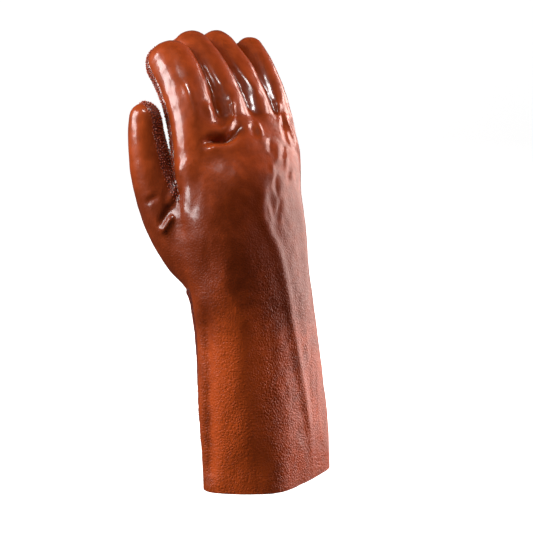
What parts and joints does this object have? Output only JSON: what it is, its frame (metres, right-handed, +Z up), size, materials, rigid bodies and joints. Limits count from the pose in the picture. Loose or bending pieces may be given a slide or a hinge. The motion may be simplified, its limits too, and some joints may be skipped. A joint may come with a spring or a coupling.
{
  "type": "pvc coated work glove",
  "caption": "Right-hand gauntlet dipped in red-brown vinyl, smooth back, rough palm coat, long open cuff, standing on its hem with fingers curled forward.",
  "frame": {"origin": "middle of the glove's box seen from above, on the surface that the hem stands on", "axes": "+Z up from the hem to the fingertips, -Y the way the back of the hand looks, +Y the way the palm looks, -X towards the thumb, +X towards the little finger"},
  "size_m": [0.1486, 0.1226, 0.3202],
  "materials": {
    "smooth_vinyl": "glossy on fingers, satin and finely creased on the cuff",
    "rough_vinyl": "rough, grainy vinyl"
  },
  "bodies": {
    "root": {"glove_shell": "smooth_vinyl", "palm_grip_coat": "rough_vinyl"}
  },
  "joints": []
}
